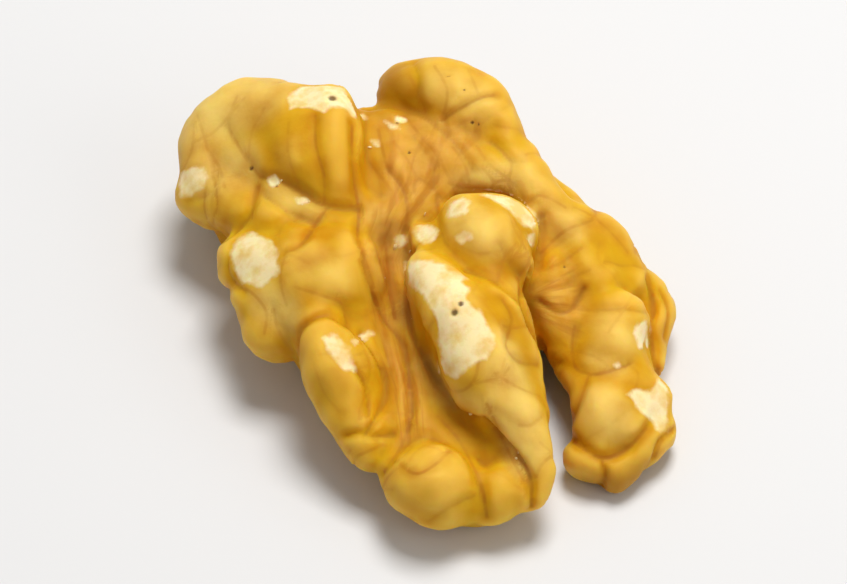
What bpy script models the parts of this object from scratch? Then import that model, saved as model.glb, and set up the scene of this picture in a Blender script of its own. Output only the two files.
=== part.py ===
"""One half of a walnut kernel, a single seed leaf with two wrinkled lobes, lying on its hollow side.

Every fold of the kernel is a chain of overlapping balls along a smooth line. The chains and the core under
them are fused by a voxel remesh, relaxed until the creases are rounded, and cut flat where they touch
the table. Sizes below are in millimetres; the mesh is made in metres, +Z up, with its origin on the table
under the middle of the kernel.
"""

import math

import bmesh
import bpy
import numpy as np
from mathutils import Matrix, Vector, noise

MM = 0.001
NODE = "walnut_kernel"
SKIN_COLOUR = (0.56, 0.31, 0.07, 1.0)
SKIN_ROUGHNESS = 0.45

# The folds on the kernel's back are laid out as a viewer sees them who looks along +Y and down by
# this angle. Across is to the viewer's right and up is up the view, both from the kernel's middle.
FACE_ELEVATION = math.radians(50.0)

BALL_SPACING = 0.45
BALL_SUBDIVISIONS = 3
WOBBLE = 0.10
WOBBLE_LENGTH = 3.0
ROOT_HEIGHT = 5.2
ROOT_STEP = 0.7
ROOT_SHRINK = 0.92
VOXEL = 0.33
RELAX_STEPS = 6
RELAX_FACTOR = 0.5
LUMPS = ((2.4, 0.20), (1.1, 0.08))
FOOT_CUT = 0.35
CUT_MERGE = 0.0001
TRIANGLES = 11000

# Each fold: points of (across, up, height of the ball's centre above the table, radius).
LEFT_LOBE_FOLDS = {
    "shoulder": [
        (-13.3, 8.0, 6.2, 2.5), (-13.0, 9.9, 6.9, 2.8), (-11.6, 11.0, 7.6, 3.0),
        (-9.8, 11.2, 8.4, 2.8), (-8.4, 11.3, 9.2, 2.3),
    ],
    "shoulder_foot": [
        (-12.0, 8.6, 6.6, 2.4), (-10.6, 8.4, 7.4, 2.4), (-9.2, 7.4, 7.9, 2.2),
        (-7.6, 5.6, 7.9, 2.0), (-5.2, 4.8, 8.0, 1.9), (-3.4, 4.4, 7.7, 1.7),
    ],
    "tongue_left": [
        (-8.2, 11.3, 9.6, 2.1), (-7.7, 9.6, 9.9, 2.2), (-7.3, 8.0, 9.6, 2.1), (-6.8, 7.4, 9.3, 2.0),
    ],
    "tongue_right": [
        (-6.2, 11.5, 10.3, 2.0), (-5.9, 10.0, 10.6, 2.1), (-5.8, 8.4, 10.2, 2.0),
        (-5.7, 7.3, 9.7, 1.9),
    ],
    "high_band": [
        (-14.0, 6.4, 5.6, 2.1), (-12.8, 6.1, 6.1, 2.0), (-11.2, 5.2, 6.7, 1.9),
        (-9.2, 4.2, 7.4, 1.9),
    ],
    "middle_band": [
        (-11.0, 1.9, 5.9, 2.3), (-9.2, 1.8, 6.7, 2.4), (-7.0, 2.0, 7.2, 2.5), (-5.0, 2.4, 7.3, 2.3),
    ],
    "band_fill": [(-9.8, 0.7, 6.0, 2.3), (-7.6, 0.9, 7.1, 2.5), (-5.2, 1.5, 7.5, 2.4)],
    "lower_band": [
        (-10.0, -0.6, 5.4, 2.2), (-8.0, -0.2, 6.6, 2.4), (-6.0, 0.1, 7.2, 2.35),
        (-4.6, 0.6, 7.2, 2.1),
    ],
    "low_bump": [(-9.2, -2.2, 5.0, 2.3), (-8.4, -1.2, 5.8, 2.2)],
    "finger": [
        (-6.4, -2.4, 6.9, 1.8), (-5.8, -4.2, 6.5, 2.1), (-5.1, -6.0, 5.7, 2.1),
        (-4.6, -7.4, 4.9, 1.9), (-3.6, -8.8, 4.2, 1.8),
    ],
    "finger_side": [(-4.4, -3.4, 6.4, 1.2), (-3.7, -4.8, 5.9, 1.2), (-3.5, -6.6, 5.0, 1.2)],
    "finger_root": [(-3.3, -9.6, 3.8, 1.6), (-2.4, -9.4, 4.0, 1.5)],
    "finger_back": [(-4.7, -0.8, 6.8, 1.5), (-3.9, -2.0, 6.3, 1.3), (-3.1, -3.6, 5.6, 1.1)],
    "band_seam": [(-10.0, 5.0, 7.0, 1.4), (-8.4, 4.8, 7.7, 1.4), (-6.8, 4.2, 8.0, 1.3)],
    "tail": [(-0.5, -11.5, 3.7, 2.3), (0.3, -11.8, 3.9, 2.55), (1.1, -12.1, 3.6, 2.5)],
    "tail_far": [(4.4, -12.6, 3.1, 1.9), (5.0, -12.2, 3.4, 1.8)],
    "tail_floor": [
        (2.2, -8.8, 4.4, 1.2), (3.4, -9.6, 4.1, 1.3), (4.4, -10.5, 3.8, 1.3), (5.0, -11.4, 3.5, 1.2),
    ],
}
RIDGE_FOLDS = {
    "ridge": [
        (0.2, 1.2, 9.2, 1.5),
        (1.7, -0.8, 9.4, 2.1),
        (2.9, -2.7, 8.8, 2.4),
        (3.6, -4.6, 7.9, 2.4),
        (4.4, -6.3, 7.0, 2.2),
        (5.8, -8.0, 6.0, 1.75),
        (6.7, -9.9, 5.0, 1.4),
        (6.9, -11.5, 4.2, 1.2),
        (6.5, -12.6, 3.5, 1.2),
    ],
    "ridge_flank": [
        (4.2, -1.0, 8.3, 2.4), (4.8, -3.0, 7.5, 2.35), (5.5, -5.4, 6.5, 2.05),
        (6.2, -7.2, 5.5, 1.8),
    ],
    "ridge_bud": [(-0.1, 3.6, 8.6, 0.9), (0.2, 2.6, 8.9, 1.0)],
    "crown_knob": [(3.0, 3.7, 9.1, 2.6), (4.0, 2.6, 9.1, 2.6), (5.0, 1.6, 8.6, 2.1)],
    "crown_crest": [
        (1.9, 4.9, 9.6, 1.2), (4.0, 4.9, 9.9, 1.5), (5.6, 4.3, 9.4, 1.5), (6.2, 3.3, 8.5, 1.3),
    ],
}
RIGHT_LOBE_FOLDS = {
    "top_hook": [
        (-1.0, 13.0, 9.1, 2.1), (0.8, 12.8, 9.8, 2.4), (2.7, 12.1, 10.1, 2.4), (4.1, 10.9, 9.8, 2.1),
        (5.0, 9.3, 9.2, 1.9),
    ],
    "brow": [
        (5.9, 8.0, 8.8, 1.8), (6.8, 6.5, 8.3, 1.8), (8.2, 4.5, 7.6, 1.7), (9.8, 3.9, 6.9, 1.8),
        (11.1, 3.2, 6.2, 1.8), (12.2, 1.9, 5.4, 1.7), (12.8, 0.6, 4.9, 1.6),
    ],
    "inner_slope": [
        (7.8, 3.2, 6.6, 1.7), (7.7, 1.4, 6.1, 1.9), (8.2, -0.8, 5.2, 1.9), (9.2, -3.0, 4.3, 1.6),
    ],
    "upper_slope": [(10.0, 2.2, 5.9, 2.2), (10.6, 0.4, 5.4, 2.2)],
    "upper_bulge": [(12.0, -1.9, 5.0, 2.1), (11.9, -3.4, 4.8, 2.2)],
    "waist": [(11.7, -4.2, 4.5, 1.8), (11.4, -6.2, 3.9, 1.8)],
    "lower_bulge": [(11.3, -7.2, 3.7, 2.2), (11.2, -8.1, 3.3, 2.1)],
    "rim_knob_high": [(13.8, -2.5, 3.9, 1.2), (12.6, -2.4, 4.4, 1.4)],
    "rim_knob_low": [(14.2, -6.8, 3.1, 1.6), (13.0, -6.2, 3.4, 1.5)],
    "rim": [
        (13.9, 0.2, 3.8, 1.4), (14.7, -0.8, 3.1, 1.4), (14.2, -2.8, 3.0, 1.3),
        (14.1, -4.6, 2.8, 1.2),
    ],
    "rim_foot": [(14.8, -8.6, 2.1, 1.3), (13.4, -9.7, 2.2, 1.6), (11.9, -11.3, 1.6, 1.4)],
    "heel": [(10.2, -10.3, 2.0, 1.6), (11.2, -10.6, 1.9, 1.5)],
}
MIDDLE_FOLDS = {
    "median": [
        (-2.4, 10.0, 8.4, 2.0), (-1.7, 8.4, 8.6, 2.1), (-1.5, 6.6, 8.3, 2.0), (-1.7, 4.8, 7.8, 1.7),
    ],
    "median_top": [(-2.5, 10.5, 8.8, 1.3), (-0.6, 10.3, 9.1, 1.3), (1.6, 9.6, 9.3, 1.3)],
    "median_fill": [(-0.5, 9.4, 8.6, 2.0), (0.1, 8.0, 8.5, 2.0), (0.2, 6.6, 8.1, 1.8)],
    "median_right": [(0.8, 8.8, 8.7, 2.0), (2.6, 8.0, 8.8, 2.0), (4.4, 7.6, 8.7, 1.9)],
    "tongue_seam": [
        (-3.9, 11.0, 8.5, 1.2), (-3.8, 9.4, 8.7, 1.2), (-3.7, 7.6, 8.5, 1.2), (-3.6, 6.0, 8.0, 1.1),
    ],
    "knob_seam": [
        (1.6, 7.2, 8.3, 1.6), (0.5, 6.0, 8.1, 1.5), (-0.1, 4.9, 7.8, 1.3), (-0.9, 3.8, 7.4, 1.2),
        (-1.5, 2.4, 6.9, 1.0),
    ],
    "valley_left": [
        (-3.0, 3.8, 7.1, 0.9), (-2.5, 0.5, 6.3, 0.9), (-2.0, -3.0, 5.4, 0.8),
        (-1.9, -6.5, 4.4, 0.8), (-1.6, -8.6, 4.0, 0.8),
    ],
    "valley_right": [
        (-1.2, 1.0, 6.7, 0.9), (-0.8, -1.5, 6.1, 0.8), (-0.5, -4.5, 5.3, 0.8),
        (0.0, -7.0, 4.6, 0.8), (1.0, -9.2, 4.0, 0.8),
    ],
}

# The rims, the underside and the core are laid out in plan: points of (x, y, height, radius).
UNDER_FOLDS = {
    "left_rim": [
        (-12.4, 6.0, 3.4, 2.2), (-10.9, 2.4, 2.6, 2.2), (-8.4, -2.8, 2.3, 2.1),
        (-5.2, -8.6, 2.2, 2.0), (-1.6, -14.4, 2.0, 2.0), (1.8, -18.0, 2.0, 1.8),
    ],
    "left_tail": [
        (1.8, -18.0, 2.0, 1.8), (4.4, -18.2, 2.2, 1.8), (5.8, -15.5, 2.8, 1.8),
        (5.6, -12.0, 3.2, 1.9), (4.9, -8.0, 3.8, 2.0),
    ],
    "left_back": [(-12.4, 6.0, 3.6, 2.2), (-9.0, 7.6, 3.6, 2.3), (-5.0, 7.4, 4.0, 2.2)],
    "right_rim": [
        (2.0, 8.2, 5.2, 1.9), (7.5, 4.4, 3.6, 2.0), (11.5, 0.2, 2.6, 2.0), (13.2, -6.0, 1.9, 1.8),
        (12.8, -12.0, 1.7, 1.6), (11.2, -15.0, 1.5, 1.4),
    ],
    "left_inner": [(-6.0, 2.0, 3.4, 1.7), (-4.0, -4.0, 3.0, 1.6), (0.0, -11.0, 3.0, 1.5)],
    "right_inner": [(7.0, 1.0, 4.0, 1.7), (10.0, -4.0, 2.8, 1.4), (10.6, -10.0, 2.2, 1.4)],
    "root_tip": [(-3.0, 7.0, 4.8, 1.5), (-3.3, 9.2, 4.3, 1.0), (-3.5, 10.6, 4.0, 0.6)],
    "back_rib_1": [(0.6, 9.8, 4.8, 1.5), (1.4, 9.4, 6.8, 1.5)],
    "back_rib_2": [(4.4, 7.8, 3.6, 1.6), (4.6, 6.8, 6.0, 1.6)],
    "back_rib_3": [(7.4, 5.4, 2.9, 1.6), (6.8, 4.2, 5.6, 1.5)],
    "back_rib_4": [(9.9, 3.2, 2.6, 1.5), (8.9, 2.0, 5.0, 1.4)],
    "back_rib_5": [(12.0, 0.9, 2.3, 1.6), (10.9, 0.4, 4.4, 1.5)],
    "back_rib_6": [(13.3, -1.6, 2.1, 1.4), (12.6, -1.6, 3.6, 1.4)],
    "back_rib_7": [(-13.5, 6.3, 3.2, 1.8), (-13.2, 6.0, 5.0, 2.0)],
    "back_rib_8": [(-11.0, 8.8, 3.3, 1.8), (-10.6, 8.6, 5.4, 1.9)],
    "back_rib_9": [(-7.6, 9.1, 3.5, 1.8), (-7.4, 8.4, 6.0, 1.9)],
    "back_rib_10": [(-5.0, 8.0, 4.2, 1.6), (-5.0, 7.0, 6.5, 1.8)],
    "under_rib_1": [(-10.9, 2.6, 2.2, 1.5), (-7.8, 1.0, 2.7, 1.3)],
    "under_rib_2": [(-9.4, -0.6, 2.0, 1.5), (-6.4, -1.8, 2.7, 1.3)],
    "under_rib_3": [(-7.8, -3.9, 2.0, 1.5), (-5.0, -4.8, 2.5, 1.2)],
    "under_rib_4": [(-6.0, -7.2, 1.9, 1.5), (-3.3, -7.8, 2.5, 1.2)],
    "under_rib_5": [(-4.3, -10.2, 1.9, 1.5), (-1.7, -10.2, 2.5, 1.2)],
    "under_rib_6": [(-2.4, -13.4, 1.9, 1.4), (0.4, -13.2, 2.4, 1.2)],
    "under_rib_7": [(11.5, 0.2, 2.2, 1.5), (9.0, -1.2, 3.0, 1.2)],
    "under_rib_8": [(12.8, -3.2, 2.0, 1.4), (10.4, -3.9, 2.6, 1.2)],
    "under_rib_9": [(13.2, -6.6, 1.8, 1.4), (11.0, -6.9, 2.4, 1.1)],
    "under_rib_10": [(12.9, -10.2, 1.7, 1.3), (11.0, -10.0, 2.2, 1.1)],
}
# Each core body: its centre, its half-length, half-width and half-thickness, and how many degrees its long
# axis is turned from +Y towards -X.
CORE_BODIES = {
    "left": ((-3.9, -6.0, 4.0), (14.5, 5.0, 2.4), 27.0),
    "right": ((9.9, -4.8, 3.8), (11.0, 3.4, 2.4), 18.0),
    "bridge": ((0.8, 2.6, 6.0), (6.6, 7.0, 2.2), 20.0),
}


def on_face(across, up, height):
    """The point at that height which the viewer sees at (across, up)."""
    y = (up - height * math.cos(FACE_ELEVATION)) / math.sin(FACE_ELEVATION)
    return across, y, height


def smooth_chain(points):
    """Balls (x, y, z, radius) along a Catmull-Rom curve through the given ones, closely spaced."""
    knots = np.array([points[0], *points, points[-1]], float)
    balls = []
    for a, b, c, d in zip(knots, knots[1:], knots[2:], knots[3:]):
        steps = max(1, round(float(np.linalg.norm(c[:3] - b[:3])) / BALL_SPACING))
        for t in np.arange(steps) / steps:
            bend = (2 * a - 5 * b + 4 * c - d) * t**2 + (3 * b - a - 3 * c + d) * t**3
            balls.append(0.5 * (2 * b + (c - a) * t + bend))
    balls.append(knots[-1])
    return balls


def with_roots(balls):
    """The balls, and under every high one a column of smaller ones, so that no fold stands on air."""
    found = list(balls)
    for x, y, z, r in balls:
        found += [(x, y, low, r * ROOT_SHRINK) for low in np.arange(z - ROOT_STEP, ROOT_HEIGHT, -ROOT_STEP)]
    return found


def all_balls():
    """Every fold's balls, each a little larger or smaller than planned, as grown things are."""
    tables = (LEFT_LOBE_FOLDS, RIDGE_FOLDS, RIGHT_LOBE_FOLDS, MIDDLE_FOLDS)
    on_back = [[(*on_face(*p[:3]), p[3]) for p in points] for table in tables for points in table.values()]
    balls = [ball for points in on_back for ball in with_roots(smooth_chain(points))]
    balls += [ball for points in UNDER_FOLDS.values() for ball in smooth_chain(points)]
    balls = np.array(balls)
    wobble = [noise.noise(Vector(ball[:3]) / WOBBLE_LENGTH) for ball in balls]
    balls[:, 3] *= 1 + WOBBLE * np.array(wobble)
    return balls


def unit_ball():
    bm = bmesh.new()
    bmesh.ops.create_icosphere(bm, subdivisions=BALL_SUBDIVISIONS, radius=1.0)
    verts = np.array([v.co for v in bm.verts])
    faces = np.array([[v.index for v in f.verts] for f in bm.faces])
    bm.free()
    return verts, faces


def filled_mesh():
    """One mesh of overlapping balls and core bodies."""
    verts, faces = unit_ball()
    bodies = [ball[3] * verts + ball[:3] for ball in all_balls()]
    for centre, (length, width, thickness), turn in CORE_BODIES.values():
        turned = Matrix.Rotation(math.radians(turn), 3, "Z") @ Matrix.Diagonal((width, length, thickness))
        bodies.append(verts @ np.array(turned).T + centre)
    points = np.concatenate(bodies)
    corners = np.concatenate([faces + i * len(verts) for i in range(len(bodies))])
    mesh = bpy.data.meshes.new(NODE)
    mesh.from_pydata(points * MM, [], corners)
    return mesh


def apply_modifiers(obj):
    graph = bpy.context.evaluated_depsgraph_get()
    mesh = bpy.data.meshes.new_from_object(obj.evaluated_get(graph))
    obj.modifiers.clear()
    old = obj.data
    obj.data = mesh
    bpy.data.meshes.remove(old)


def fuse(obj):
    remesh = obj.modifiers.new("Fuse", "REMESH")
    remesh.mode = "VOXEL"
    remesh.voxel_size = VOXEL * MM
    relax = obj.modifiers.new("Relax", "SMOOTH")
    relax.factor = RELAX_FACTOR
    relax.iterations = RELAX_STEPS
    apply_modifiers(obj)


def add_lumps(mesh):
    """Moves each vertex along its normal by smooth noise, so that no fold is an even tube."""
    for vert, normal in zip(mesh.vertices, [v.normal.copy() for v in mesh.vertices]):
        shift = sum(depth * noise.noise(vert.co / (length * MM)) for length, depth in LUMPS)
        vert.co += normal * shift * MM


def thin_out(obj):
    """Fewer triangles, most of them where the surface bends."""
    obj.data.calc_loop_triangles()
    decimate = obj.modifiers.new("Thin out", "DECIMATE")
    decimate.ratio = TRIANGLES / len(obj.data.loop_triangles)
    decimate.use_collapse_triangulate = True
    apply_modifiers(obj)


def stand_on_table(mesh):
    """Cuts the lowest folds flat, and puts the origin on the cut, under the middle of the kernel."""
    bm = bmesh.new()
    bm.from_mesh(mesh)
    low = min(v.co.z for v in bm.verts) + FOOT_CUT * MM
    everything = bm.verts[:] + bm.edges[:] + bm.faces[:]
    cut = bmesh.ops.bisect_plane(
        bm, geom=everything, dist=CUT_MERGE * MM, plane_co=(0, 0, low), plane_no=(0, 0, 1), clear_inner=True
    )
    rims = [e for e in cut["geom_cut"] if isinstance(e, bmesh.types.BMEdge)]
    bmesh.ops.holes_fill(bm, edges=rims)
    bmesh.ops.triangulate(bm, faces=[f for f in bm.faces if len(f.verts) > 3])
    bmesh.ops.recalc_face_normals(bm, faces=bm.faces)
    box = [[limit(v.co[axis] for v in bm.verts) for limit in (min, max)] for axis in (0, 1)]
    middle = [sum(side) / 2 for side in box]
    bmesh.ops.translate(bm, verts=bm.verts, vec=(-middle[0], -middle[1], -low))
    bm.to_mesh(mesh)
    bm.free()


def skin_material():
    """The thin golden skin that covers the whole kernel."""
    skin = bpy.data.materials.new("kernel_skin")
    skin.use_nodes = True
    shader = skin.node_tree.nodes["Principled BSDF"]
    shader.inputs["Base Color"].default_value = SKIN_COLOUR
    shader.inputs["Roughness"].default_value = SKIN_ROUGHNESS
    shader.inputs["Metallic"].default_value = 0.0
    return skin


def main():
    for obj in list(bpy.data.objects):
        bpy.data.objects.remove(obj)
    kernel = bpy.data.objects.new(NODE, filled_mesh())
    bpy.context.scene.collection.objects.link(kernel)
    fuse(kernel)
    add_lumps(kernel.data)
    thin_out(kernel)
    stand_on_table(kernel.data)
    kernel.data.materials.append(skin_material())
    kernel.data.shade_smooth()


main()
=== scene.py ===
# %% [markdown]
# # A walnut kernel, half of a shelled nut
#
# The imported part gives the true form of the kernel: two lobes of thick folds, a bridge between
# them, and a hollow underside. This lesson turns that plain solid into something you would want
# to pick up and eat. The steps are: load the part, make its mesh fine, sharpen the creases,
# wrinkle the thin skin in the valley, lay veins over the folds, rub some crests down to the pale
# flesh, colour it all, drop a few crumbs, and light it.

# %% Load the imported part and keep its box
import math
import random

import bpy
import numpy as np
from mathutils import Matrix, Vector, noise
from mathutils.bvhtree import BVHTree
from mathutils.kdtree import KDTree


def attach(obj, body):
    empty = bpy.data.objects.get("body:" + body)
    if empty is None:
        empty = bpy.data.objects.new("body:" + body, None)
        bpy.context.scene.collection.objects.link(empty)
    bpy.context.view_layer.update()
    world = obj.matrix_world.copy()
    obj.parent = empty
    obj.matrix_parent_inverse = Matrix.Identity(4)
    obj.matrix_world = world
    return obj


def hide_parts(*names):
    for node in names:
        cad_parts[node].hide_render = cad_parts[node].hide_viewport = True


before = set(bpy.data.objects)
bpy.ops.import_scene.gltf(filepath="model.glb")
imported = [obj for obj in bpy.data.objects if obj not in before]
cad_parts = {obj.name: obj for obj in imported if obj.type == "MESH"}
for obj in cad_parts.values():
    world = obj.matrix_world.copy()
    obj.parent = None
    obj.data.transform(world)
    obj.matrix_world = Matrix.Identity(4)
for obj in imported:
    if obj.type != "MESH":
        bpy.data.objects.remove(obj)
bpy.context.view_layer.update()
MM = 0.001
NODE = "walnut_kernel"

# %% [markdown]
# ## Where the camera stands
#
# Every crease, vein and pale patch below was read off the photograph, so its place is written as
# two numbers in millimetres: across, to the right, and up, as the camera sees it. The same two
# directions set the camera, which looks down on the kernel at 50 degrees. A long lens is used,
# because a short one this close would make the near folds look swollen.

# %% Camera
LOOK_DOWN = math.radians(50)
FACE_CENTRE = Vector((-0.002, 5.061, -0.339)) * MM
RIGHT = Vector((1, 0, 0))
UP = Vector((0, math.sin(LOOK_DOWN), math.cos(LOOK_DOWN)))
TOWARDS_CAMERA = Vector((0, -math.cos(LOOK_DOWN), math.sin(LOOK_DOWN)))
LENS = 200
SENSOR = 36
SEEN_WIDTH = 55 * MM

camera_data = bpy.data.cameras.new("camera")
camera_data.lens = LENS
camera_data.sensor_width = SENSOR
camera_data.clip_start = 1 * MM
camera = bpy.data.objects.new("camera", camera_data)
camera.location = FACE_CENTRE + TOWARDS_CAMERA * (SEEN_WIDTH * LENS / SENSOR)
camera.rotation_euler = TOWARDS_CAMERA.to_track_quat("Z", "Y").to_euler()
bpy.context.scene.collection.objects.link(camera)
bpy.context.scene.camera = camera
print("camera distance in mm:", round((camera.location - FACE_CENTRE).length / MM))

# %% [markdown]
# ## A mesh fine enough to carve
#
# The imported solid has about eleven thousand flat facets, which is plenty for weighing and
# collision and far too few for skin. A subdivision rounds the facets off, and a voxel remesh then
# gives even little quads of a fifth of a millimetre all over, so that any place on the kernel can
# be moved by a formula. It works on a copy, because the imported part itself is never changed.

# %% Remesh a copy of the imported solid
GRAIN = 0.2 * MM
WELD = 0.001 * MM
ROUNDINGS = 2

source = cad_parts[NODE]
kernel = bpy.data.objects.new("kernel_skin", source.data.copy())
kernel.data.materials.clear()
bpy.context.scene.collection.objects.link(kernel)


def bake_modifiers(piece):
    """Swaps the piece's mesh for the one that its modifiers make."""
    with_modifiers = piece.evaluated_get(bpy.context.evaluated_depsgraph_get())
    shaped = bpy.data.meshes.new_from_object(with_modifiers)
    piece.modifiers.clear()
    piece.data = shaped


weld = kernel.modifiers.new("weld", "WELD")
weld.merge_threshold = WELD
rounder = kernel.modifiers.new("round", "SUBSURF")
rounder.levels = rounder.render_levels = ROUNDINGS
remesh = kernel.modifiers.new("even quads", "REMESH")
remesh.mode = "VOXEL"
remesh.voxel_size = GRAIN
bake_modifiers(kernel)
print("vertices:", len(kernel.data.vertices), "faces:", len(kernel.data.polygons))

# %% [markdown]
# ## Working on all vertices at once
#
# The mesh has far too many points to move by hand, so they live in arrays. Three helpers do most
# of the work. The first averages a value with its neighbours, over and over, which blurs it by a
# known width. The second gives each point's outward direction. The third uses both, to tell the
# creases from the crests.

# %% Arrays and three helpers
mesh = kernel.data
count = len(mesh.vertices)
places = np.empty(count * 3)
mesh.vertices.foreach_get("co", places)
places = places.reshape(-1, 3)
edges = np.empty(len(mesh.edges) * 2, dtype=np.int64)
mesh.edges.foreach_get("vertices", edges)
edges = edges.reshape(-1, 2)
from_ends = np.concatenate([edges[:, 0], edges[:, 1]])
to_ends = np.concatenate([edges[:, 1], edges[:, 0]])
degree = np.bincount(from_ends, minlength=count)


def blurred(values, width):
    """The values averaged over the surface, with a blur of that width in metres."""
    columns = values.reshape(count, -1).copy()
    for _ in range(round(2 * (width / GRAIN) ** 2)):
        for k in range(columns.shape[1]):
            columns[:, k] = np.bincount(from_ends, columns[to_ends, k], count) / degree
    return columns.reshape(values.shape)


def outward():
    """The unit normals of the mesh as it stands now."""
    mesh.vertices.foreach_set("co", places.ravel())
    mesh.update()
    normals = np.empty(count * 3)
    mesh.vertex_normals.foreach_get("vector", normals)
    return normals.reshape(-1, 3)


def hollowness(width):
    """How far the blurred surface lies outside the real one: above 0 in creases, below on crests."""
    return ((blurred(places, width) - places) * outward()).sum(axis=1)


print("edges:", len(edges))

# %% [markdown]
# ## Sharper creases
#
# Where two folds of a kernel meet, the crease between them is narrow and deep, while the folds
# themselves stay plump. A blurred copy of the surface shows where that is: it lies above the real
# surface in every crease. Pushing the crease points further down by a share of that distance
# deepens them, and the crests are let out only a little, so the size stays that of the part. The
# sides turned away from the camera get no drawn creases later, so there the share is larger.

# %% Deepen the creases
CREASE_WIDTH = 0.9 * MM
DEEPEN = 0.6
DEEPEN_BEHIND = 0.9
SWELL = 0.25
FACET_BLUR = 0.25 * MM
PUSH_BLUR = 0.15 * MM
SIDE_ON = 0.3

places = blurred(places, FACET_BLUR)
hollow = hollowness(CREASE_WIDTH)
turned_away = np.clip(SIDE_ON - outward() @ np.array(TOWARDS_CAMERA), 0, 1)
push = np.where(hollow > 0, hollow * (DEEPEN + DEEPEN_BEHIND * turned_away), hollow * SWELL)
places = places - outward() * blurred(push, PUSH_BLUR)[:, None]
print("deepest push in mm:", round(push.max() / MM, 2))

# %% [markdown]
# ## Small lumps
#
# No fold of a grown thing is an even tube. Three layers of smooth noise, from two millimetres long
# down to about half a millimetre, push the surface in and out along its own direction. The table
# gives their lengths and heights in millimetres.

# %% Lumps
LUMPS = ((2.1, 0.13), (1.1, 0.05), (0.6, 0.02))
rise = np.array([
    sum(height * noise.noise(Vector(place) / (length * MM)) for length, height in LUMPS)
    for place in places
])
places = places + outward() * (rise * MM)[:, None]
print("lumps from", round(rise.min(), 2), "to", round(rise.max(), 2), "mm")

# %% [markdown]
# ## Dropping a drawn line onto the surface
#
# A line read off the photograph has no depth. A ray sent from the camera through each of its
# points finds it: where the ray first meets the kernel, the line lies. Lines are rounded first
# with a spline, because a few points are easier to read and to mend than many.

# %% From the picture to the surface
LINE_STEP = 0.12
FAR = 100 * MM


def surface():
    """The mesh as it stands now, ready for rays and nearest points."""
    polygons = [tuple(p.vertices) for p in mesh.polygons]
    return BVHTree.FromPolygons([Vector(p) for p in places], polygons)


def rounded(points):
    """A smooth line through the given points, with a point every LINE_STEP."""
    ends = [points[0], *points, points[-1]]
    line = []
    for a, b, c, d in zip(ends, ends[1:], ends[2:], ends[3:]):
        steps = max(2, round(math.dist(b, c) / LINE_STEP))
        for k in range(steps):
            t = k / steps
            line.append(tuple(
                0.5 * (2 * q + (r - p) * t + (2 * p - 5 * q + 4 * r - s) * t**2
                       + (3 * q - p - 3 * r + s) * t**3)
                for p, q, r, s in zip(a, b, c, d)
            ))
    return line + [points[-1]]


def dropped(points, skin):
    """The line's points where the camera sees them on the kernel."""
    found = []
    for across, up in rounded(points):
        start = FACE_CENTRE + (RIGHT * across + UP * up) * MM + TOWARDS_CAMERA * FAR
        hit = skin.ray_cast(start, -TOWARDS_CAMERA)[0]
        if hit is not None:
            found.append(hit)
    return found


skin = surface()
print("camera line test:", skin.ray_cast(FACE_CENTRE + TOWARDS_CAMERA * FAR, -TOWARDS_CAMERA)[0])

# %% [markdown]
# ## Seams that have grown together
#
# Not every seam of the part is an open fold on the real kernel. Along the tongue, below the hook
# and around the knob the folds have grown into each other, and only a shallow dip is left. There
# the surface is blended with a blurred copy of itself, most of all right on the line. The table
# gives each line's strength and, in millimetres, its reach and its points across and up.

# %% Softer seams
SEAMS = {
    "tongue_rib": (1.0, 1.5, [(-6.7, 11.4), (-6.6, 9.2), (-6.4, 7.3), (-6.3, 5.9)]),
    "tongue_edge": (1.0, 1.5, [(-4.5, 11.2), (-4.5, 9), (-4.3, 7), (-4.1, 5.4)]),
    "tongue_right": (0.9, 1.3, [(-3.4, 11.2), (-3, 9.2), (-2.9, 7.2)]),
    "knob_left": (0.9, 1.4, [(0.9, 6.2), (1.1, 4.6), (1.7, 3.0), (2.9, 1.7), (4.3, 0.9)]),
    "hem": (0.8, 1.4, [(0.9, 10.5), (2.2, 9.3), (3.2, 7.9), (4.2, 7.3)]),
    "knob_top": (0.7, 1.2, [(2.2, 6.9), (3.8, 7.2), (5.6, 6.8)]),
    "left_valley": (0.6, 1.2, [(-3.8, 1.9), (-3.2, 0.1), (-2.5, -1.6), (-1.3, -3.2), (-0.9, -5.3)]),
    "dome_ledge": (1.0, 1.8, [(-13, 10.8), (-11.6, 10.5), (-10, 10.9), (-8.6, 11.2)]),
    "waist": (0.8, 1.4, [(8.2, -4.4), (9.6, -4.7), (10.6, -5.1), (12, -4.8)]),
    "bulge_left": (0.8, 1.2, [(9.8, -1.6), (9.5, -3), (9.7, -4.6)]),
    "heel": (0.6, 1.2, [(-1.3, -9.5), (0, -8.9), (1.9, -9.5), (2.9, -10.5), (3.5, -12)]),
    "lobe_low_left": (0.7, 1.2, [(10.2, -5.4), (9.6, -6.9), (9.1, -8.5)]),
    "low_bump": (0.8, 1.6, [(-10, -0.4), (-9, -1.2), (-8.2, -2.2)]),
}
SEAM_BLUR = 1.1 * MM
SPREAD_BLUR = 0.35 * MM
JUMP = 0.6 * MM
TINY = 1e-12


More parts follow.
